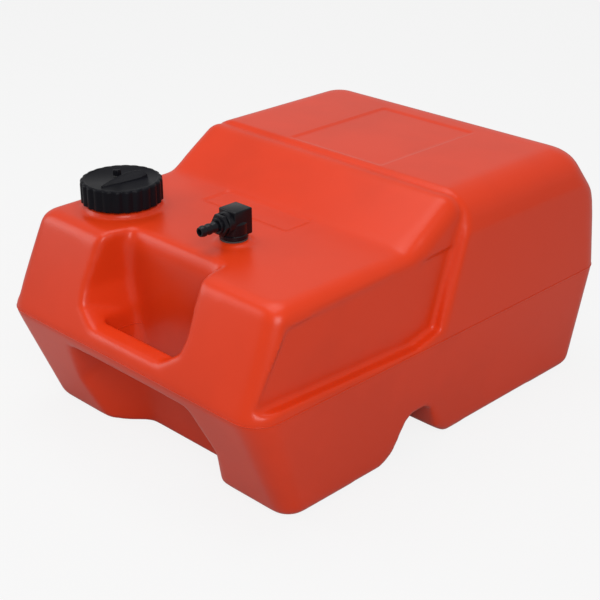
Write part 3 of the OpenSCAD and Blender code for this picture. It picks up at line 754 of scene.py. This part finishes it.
def make_seam(shell, s):
    """The parting line: a thin band of the skin at the waist, pushed out."""
    bm = bmesh.new()
    bm.from_mesh(shell.data)
    for way in (-1, 1):
        bmesh.ops.bisect_plane(
            bm, geom=bm.verts[:] + bm.edges[:] + bm.faces[:], dist=1e-6,
            plane_co=(0, 0, s.waist_z + way * s.seam_w / 2), plane_no=(0, 0, way), clear_outer=True)
    hole_half, hole_front, hole_rear = 48 * MM, -s.length / 2 + 20 * MM, -180 * MM
    inner = [v for v in bm.verts if abs(v.co.x) < hole_half and hole_front < v.co.y < hole_rear]
    bmesh.ops.delete(bm, geom=inner, context="VERTS")
    bm.normal_update()

    def push(vert, by):
        out = Vector((vert.normal.x, vert.normal.y, 0))
        if out.length > 0.1:
            vert.co += out.normalized() * by

    for vert in bm.verts:
        push(vert, s.seam_h * 0.35)
    made = bmesh.ops.extrude_face_region(bm, geom=bm.faces[:])["geom"]
    for vert in made:
        if isinstance(vert, bmesh.types.BMVert):
            push(vert, s.seam_h)
            vert.co.z = s.waist_z + (vert.co.z - s.waist_z) * 0.45
    piece(as_object(bm, "seam"), "parting_line", "tank", "orange_polyethylene")


class FUEL_TANK_OT_shell(Operator):
    """Models the blow-moulded shell with its parting line"""

    bl_idname = "fuel_tank.shell"
    bl_label = "Shell"

    def execute(self, context):
        make_shell(context)
        return {"FINISHED"}


# ------ the neck and its cap

class FUEL_TANK_OT_neck(Operator):
    """Models the filler neck with its thread"""

    bl_idname = "fuel_tank.neck"
    bl_label = "Filler neck"

    def execute(self, context):
        neck = context.scene.neck_sizes
        foot = context.scene.tank_sizes.deck_z + neck.collar_h - 2 * MM
        root = neck.neck_r - neck.thread_h
        lip = 0.6 * MM
        bm = bmesh.new()
        turned(bm, (
            (neck.bore_r, foot), (root + MM, foot), (root, foot + 3 * MM), (root, NECK_TOP - lip),
            (root - lip, NECK_TOP), (neck.bore_r + lip, NECK_TOP), (neck.bore_r, NECK_TOP - lip)),
            Matrix.Translation((NECK_X, NECK_Y, 0)), 96)
        wall = set(bm.verts)
        half = 1.3 * MM
        steps = 48
        profile = [
            bmesh.ops.create_vert(bm, co=place)["vert"][0] for place in (
                (root - 0.3 * MM, 0, -half), (neck.neck_r, 0, -0.35 * half), (neck.neck_r, 0, 0.35 * half),
                (root - 0.3 * MM, 0, half))]
        edges = [bm.edges.new(pair) for pair in zip(profile, profile[1:] + profile[:1])]
        cap = bmesh.ops.contextual_create(bm, geom=edges)["faces"]
        bmesh.ops.translate(bm, vec=(0, 0, foot + 5 * MM), verts=profile)
        turns = 2.25
        bmesh.ops.spin(
            bm, geom=cap, cent=(0, 0, 0), axis=(0, 0, 1), dvec=(0, 0, neck.pitch / steps),
            angle=FULL * turns, steps=int(steps * turns), use_merge=False, use_duplicate=False)
        thread = [v for v in bm.verts if v not in wall]
        bmesh.ops.translate(bm, vec=(NECK_X, NECK_Y, 0), verts=thread)
        piece(as_object(bm, "neck"), "filler_neck", "tank", "orange_polyethylene", crisp=35)
        return {"FINISHED"}


class FUEL_TANK_OT_cap(Operator):
    """Models the filler cap with its ribs, its dished top and its grip bar"""

    bl_idname = "fuel_tank.cap"
    bl_label = "Filler cap"

    def execute(self, context):
        neck = context.scene.neck_sizes
        low, high = CAP_LOW.z, GASKET_HIGH.z + 5 * MM
        skirt = (CAP_HIGH.x - CAP_LOW.x) / 2 - neck.cap_rib
        count = neck.ribs * neck.rib_points
        bm = bmesh.new()

        def level(z, r, rib=0.0):
            def radius(turn):
                wave = 0.5 + 0.5 * math.cos(neck.ribs * turn)
                return r + rib * wave ** 0.55
            return ring(bm, z, radius, count, NECK_X, NECK_Y)

        rib, inner, under = neck.cap_rib, skirt - neck.cap_wall, GASKET_HIGH.z
        thread_r, dish_z = neck.neck_r + 0.3 * MM, high - neck.dish
        loops = [level(*row) for row in (
            (under, thread_r), (low + 0.5 * MM, thread_r), (low, thread_r + 0.4 * MM),
            (low, thread_r + 2.4 * MM), (low + 0.4 * MM, thread_r + 2.7 * MM), (under, thread_r + 2.7 * MM),
            (under, inner), (low + 0.5 * MM, inner), (low, inner + 0.5 * MM),
            (low, skirt - 0.8 * MM, 0.6 * rib), (low + 0.7 * MM, skirt, rib), (high - 2.6 * MM, skirt, rib),
            (high - 1.1 * MM, skirt - 0.25 * MM, 0.85 * rib),
            (high - 0.3 * MM, skirt - 0.9 * MM, 0.55 * rib), (high, skirt - 1.7 * MM, 0.25 * rib),
            (high, skirt - 2.6 * MM), (high - 0.4 * MM, skirt - 3.2 * MM), (dish_z, skirt - 3.8 * MM))]
        stack(bm, loops)
        self.grip(bm, dish_z)
        piece(as_object(bm, "cap"), "filler_cap_shell", "cap", "black_moulded",
              ("filler_cap",), crisp=40)
        return {"FINISHED"}

    @staticmethod
    def grip(bm, foot):
        """The curved fin that a hand turns the cap by: upright on the left, sloping on the right."""
        ridge = ((5, -27.5, 0.9), (2.4, -17, 2.4), (1, -5, 4), (1.4, 6, 5), (3.6, 15, 5.6), (7, 21.5, 5.2))
        skirt = (
            (6.4, -28, 0.4), (8.4, -18, 0.6), (10.6, -6, 0.8), (12.4, 5, 1), (13.4, 14, 1.3),
            (12.6, 22, 2.2))
        loops = []
        for (x0, y0, z0), (x1, y1, z1) in zip(ridge, skirt):
            section = (
                (x0 - 0.9, y0, -0.5), (x0 - 0.5, y0, z0 - 0.4), (x0, y0, z0), (x0 + 0.8, y0, z0),
                ((x0 + x1) / 2, (y0 + y1) / 2, 0.62 * z0 + 0.38 * z1), (x1, y1, z1), (x1 + 0.6, y1, -0.5))
            row = [
                bmesh.ops.create_vert(bm, co=(NECK_X + x * MM, NECK_Y + y * MM, foot + z * MM))["vert"][0]
                for x, y, z in section]
            loops.append([bm.edges.new(pair) for pair in zip(row, row[1:] + row[:1])])
        stack(bm, loops)


class FUEL_TANK_OT_vent(Operator):
    """Models the vent screw in the cap"""

    bl_idname = "fuel_tank.vent"
    bl_label = "Vent screw"

    def execute(self, context):
        x, y = (VENT_LOW.x + VENT_HIGH.x) / 2, (VENT_LOW.y + VENT_HIGH.y) / 2
        knob = (VENT_HIGH.x - VENT_LOW.x) / 2
        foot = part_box("vent_seal")[1].z
        bm = bmesh.new()

        def level(z, r, flute=0.0):
            return ring(bm, z, lambda turn: r - flute * (0.5 + 0.5 * math.cos(8 * turn)) ** 3, 96, x, y)

        top = VENT_HIGH.z
        loops = [level(*row) for row in (
            (VENT_LOW.z, 1.6 * MM), (VENT_LOW.z + 0.4 * MM, 2 * MM), (foot, 2 * MM),
            (foot, knob - 0.5 * MM), (foot + 0.4 * MM, knob, 0.2 * MM), (foot + 1.2 * MM, knob, 0.7 * MM),
            (top - 1.2 * MM, knob - 0.2 * MM, 0.7 * MM), (top - 0.4 * MM, knob - 0.5 * MM, 0.4 * MM),
            (top, knob - 1.1 * MM), (top - 0.3 * MM, knob - 1.8 * MM))]
        stack(bm, loops)
        piece(as_object(bm, "vent"), "vent_knob", "vent", "black_moulded",
              ("vent_screw",), crisp=40)
        return {"FINISHED"}


# ------ the fuel fitting

class FUEL_TANK_OT_elbow(Operator):
    """Models the swivelling hose elbow"""

    bl_idname = "fuel_tank.elbow"
    bl_label = "Hose elbow"

    def execute(self, context):
        fit = context.scene.fitting_sizes
        foot, top = WASHER_HIGH.z, ELBOW_HIGH.z
        half = fit.head_w / 2
        axis_z = (TAIL_LOW.z + TAIL_HIGH.z) / 2
        tube_low, tube_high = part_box("pickup_tube")
        spigot = (tube_high.x - tube_low.x) / 2 - 1.5 * MM
        stem, stem_low = 8 * MM, tube_high.z
        bore = 2 * MM
        bm = bmesh.new()
        edge = 0.8 * MM
        turned(bm, (
            (bore, ELBOW_LOW.z), (spigot, ELBOW_LOW.z), (spigot, stem_low), (stem, stem_low), (stem, foot),
            (fit.foot_r - edge, foot), (fit.foot_r, foot + edge), (fit.foot_r, foot + 4 * MM),
            (fit.foot_r - edge, foot + 4.6 * MM), (fit.waist_r, foot + 5 * MM),
            (fit.waist_r, foot + 15 * MM), (fit.waist_r - 3 * MM, foot + 18 * MM), (bore, foot + 18 * MM)),
            Matrix.Translation((FIT_X, FIT_Y, 0)), 72)
        low, high = (FIT_X - half, FIT_Y - 8 * MM, foot + 3 * MM), (FIT_X + half, ELBOW_HIGH.y, top)
        block(bm, low, high, 1.1 * MM)
        reach = FIT_Y - ELBOW_LOW.y
        turned(bm, (
            (fit.bore_d / 2, 0), (fit.socket_r - 1.4 * MM, 0), (fit.socket_r + 0.2 * MM, 1.5 * MM),
            (half, 3 * MM), (half, reach - MM), (half - MM, reach), (6 * MM, reach),
            (6 * MM, reach - 2 * MM), (fit.bore_d / 2, reach - 2 * MM)),
            Matrix.Translation((FIT_X, FIT_Y, axis_z)) @ Matrix.Rotation(QUARTER, 4, "X"), 64)
        piece(as_object(bm, "elbow"), "elbow_body", "fuel_fitting", "black_nylon",
              ("elbow",), crisp=32)
        return {"FINISHED"}


class FUEL_TANK_OT_tail(Operator):
    """Models the barbed hose tail with its hexagon"""

    bl_idname = "fuel_tank.tail"
    bl_label = "Hose tail"

    def execute(self, context):
        fit = context.scene.fitting_sizes
        axis_z = (TAIL_LOW.z + TAIL_HIGH.z) / 2
        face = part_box("barb_seal")[0].y
        place = Matrix.Translation((FIT_X, face, axis_z)) @ Matrix.Rotation(QUARTER, 4, "X")
        root, crest, bore = fit.root_d / 2, fit.barb_d / 2, fit.bore_d / 2
        hex_t, shoulder, length = 4 * MM, 7 * MM, face - TAIL_LOW.y
        step = (length - shoulder) / 3
        spigot, inside, waist = 4.9 * MM, -11 * MM, 7.5 * MM
        outline = [(bore, inside), (spigot, inside), (spigot, 0.3 * MM), (7 * MM, 0.3 * MM), (waist, hex_t),
                   (waist, shoulder - 0.6 * MM), (6.9 * MM, shoulder), (root, shoulder)]
        for barb in range(3):
            start = shoulder + step * barb
            outline += [
                (root, start + 0.5 * MM), (crest - 0.1 * MM, start + 1.3 * MM), (crest, start + 1.6 * MM),
                (crest, start + 3.4 * MM), (root, start + step - 0.3 * MM)]
        outline += [(root - 0.4 * MM, length), (bore, length)]
        bm = bmesh.new()
        turned(bm, outline, place, 56)
        corner_r, twist = fit.hex_af / 2 / math.cos(math.pi / 6), Matrix.Rotation(math.pi / 6, 4, "Z")
        made = bmesh.ops.create_cone(
            bm, cap_ends=True, segments=6, radius1=corner_r, radius2=corner_r, depth=hex_t,
            matrix=place @ Matrix.Translation((0, 0, hex_t / 2)) @ twist)["verts"]
        edges = list({edge for vert in made for edge in vert.link_edges})
        bmesh.ops.bevel(
            bm, geom=edges, offset=0.6 * MM, segments=2, profile=0.5, affect="EDGES", material=-1,
            clamp_overlap=True)
        piece(as_object(bm, "tail"), "hose_tail", "fuel_fitting", "black_nylon",
              ("hose_barb",), crisp=30)
        return {"FINISHED"}


class FUEL_TANK_OT_inner(Operator):
    """Finishes the seals, the insert, the pick-up tube and the strainer"""

    bl_idname = "fuel_tank.inner"
    bl_label = "Seals and pick-up"

    def execute(self, context):
        for node, name in (
                ("cap_gasket", "seal_rubber"), ("vent_seal", "seal_rubber"),
                ("elbow_washer", "seal_rubber"), ("barb_seal", "seal_rubber"),
                ("boss_insert", "turned_brass"), ("pickup_tube", "natural_plastic"),
                ("strainer", "natural_plastic"), ("strainer_plug", "black_nylon")):
            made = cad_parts[node]
            if not made.material_slots:
                raise RuntimeError(f"{node} has no material slot")
            for place in made.material_slots:
                place.material = finish(name)
        return {"FINISHED"}


# ------ the stage

def seen_as_white(tree, low, seen, mirrored):
    """How white the background is: as the camera sees it, as surfaces mirror it, and low for other light."""
    path = tree.nodes.new("ShaderNodeLightPath")
    mirror = arithmetic(tree, "MAXIMUM", path.outputs["Is Glossy Ray"], path.outputs["Is Transmission Ray"])
    away = arithmetic(tree, "MULTIPLY", mirror, mirrored - low)
    direct = arithmetic(tree, "MULTIPLY", path.outputs["Is Camera Ray"], seen - low)
    return arithmetic(tree, "ADD", arithmetic(tree, "MAXIMUM", away, direct), low)


# Each lamp: its name, its size, where it stands and what it faces.
LAMPS = (
    ("over", 1.3, (-0.3, 0.0, 1.8), (0, -0.05, 0.1)),
    ("front", 1.1, (1.4, -1.1, 1.45), (0, -0.05, 0.1)),
    ("left", 0.9, (-1.45, -1.1, 0.9), (0, -0.1, 0.1)))


class FUEL_TANK_OT_stage(Operator):
    """Sets the camera, the pale floor and the soft light"""

    bl_idname = "fuel_tank.stage"
    bl_label = "Stage"

    def execute(self, context):
        scene, stage = context.scene, context.scene.tank_stage
        scene.view_settings.view_transform = "Standard"
        self.floor(stage)
        world = bpy.data.worlds.new("studio")
        world.use_nodes = True
        scene.world = world
        back = world.node_tree.nodes["Background"]
        back.inputs["Color"].default_value = (1, 1, 1, 1)
        strength = seen_as_white(world.node_tree, stage.world, 1.0, stage.mirrored)
        world.node_tree.links.new(strength, back.inputs["Strength"])
        for name, size, place, aim in LAMPS:
            lamp = bpy.data.lights.new(name, "AREA")
            lamp.energy, lamp.size = getattr(stage, name), size
            made = bpy.data.objects.new(name, lamp)
            made.location = place
            made.rotation_euler = (Vector(aim) - Vector(place)).to_track_quat("-Z", "Y").to_euler()
            scene.collection.objects.link(made)
        lens = bpy.data.cameras.new("camera")
        lens.lens, lens.sensor_width = stage.lens, 36
        camera = bpy.data.objects.new("camera", lens)
        camera.location = stage.eye
        level, turn = math.cos(stage.tilt), stage.azimuth
        look = Vector((-math.sin(turn) * level, math.cos(turn) * level, -math.sin(stage.tilt)))
        camera.rotation_euler = look.to_track_quat("-Z", "Y").to_euler()
        scene.collection.objects.link(camera)
        scene.camera = camera
        return {"FINISHED"}

    @staticmethod
    def floor(stage):
        bm = bmesh.new()
        bmesh.ops.create_grid(bm, x_segments=1, y_segments=1, size=6)
        floor = as_object(bm, "floor", closed=False)
        material = bpy.data.materials.new("pale_floor")
        material.use_nodes = True
        tree = material.node_tree
        shader = tree.nodes["Principled BSDF"]
        shader.inputs["Base Color"].default_value = (*stage.floor, 1)
        shader.inputs["Roughness"].default_value = 0.9
        shader.inputs["Specular IOR Level"].default_value = 0.1
        white = tree.nodes.new("ShaderNodeEmission")
        mix = tree.nodes.new("ShaderNodeMixShader")
        tree.links.new(seen_as_white(tree, 0.0, 0.86, 0.1), mix.inputs["Fac"])
        tree.links.new(shader.outputs["BSDF"], mix.inputs[1])
        tree.links.new(white.outputs["Emission"], mix.inputs[2])
        tree.links.new(mix.outputs["Shader"], tree.nodes["Material Output"].inputs["Surface"])
        floor.data.materials.append(material)


class FUEL_TANK_PT_pieces(Panel):
    """Lists the pieces of the tank"""

    bl_idname = "FUEL_TANK_PT_pieces"
    bl_label = "Fuel Tank"
    bl_space_type = "VIEW_3D"
    bl_region_type = "UI"
    bl_category = "Fuel Tank"

    def draw(self, context):
        for operator in OPERATORS:
            self.layout.operator(operator.bl_idname)
        for name in GROUPS:
            values = getattr(context.scene, name)
            box = self.layout.box()
            for key in values.__annotations__:
                box.prop(values, key)


GROUPS = {
    "tank_sizes": TankSizes, "hand_sizes": HandSizes, "cut_sizes": CutSizes, "neck_sizes": NeckSizes,
    "fitting_sizes": FittingSizes, "tank_finishes": Finishes, "tank_stage": StageSettings}
OPERATORS = (
    FUEL_TANK_OT_stage, FUEL_TANK_OT_shell, FUEL_TANK_OT_neck, FUEL_TANK_OT_cap, FUEL_TANK_OT_vent,
    FUEL_TANK_OT_elbow, FUEL_TANK_OT_tail, FUEL_TANK_OT_inner)
CLASSES = (*GROUPS.values(), *OPERATORS, FUEL_TANK_PT_pieces)


def register():
    for made in CLASSES:
        bpy.utils.register_class(made)
    for name, made in GROUPS.items():
        setattr(bpy.types.Scene, name, PointerProperty(type=made))


def unregister():
    for name in GROUPS:
        delattr(bpy.types.Scene, name)
    for made in reversed(CLASSES):
        bpy.utils.unregister_class(made)


def main():
    register()
    for operator in OPERATORS:
        family, name = operator.bl_idname.split(".")
        getattr(getattr(bpy.ops, family), name)()


if __name__ == "__main__":
    main()
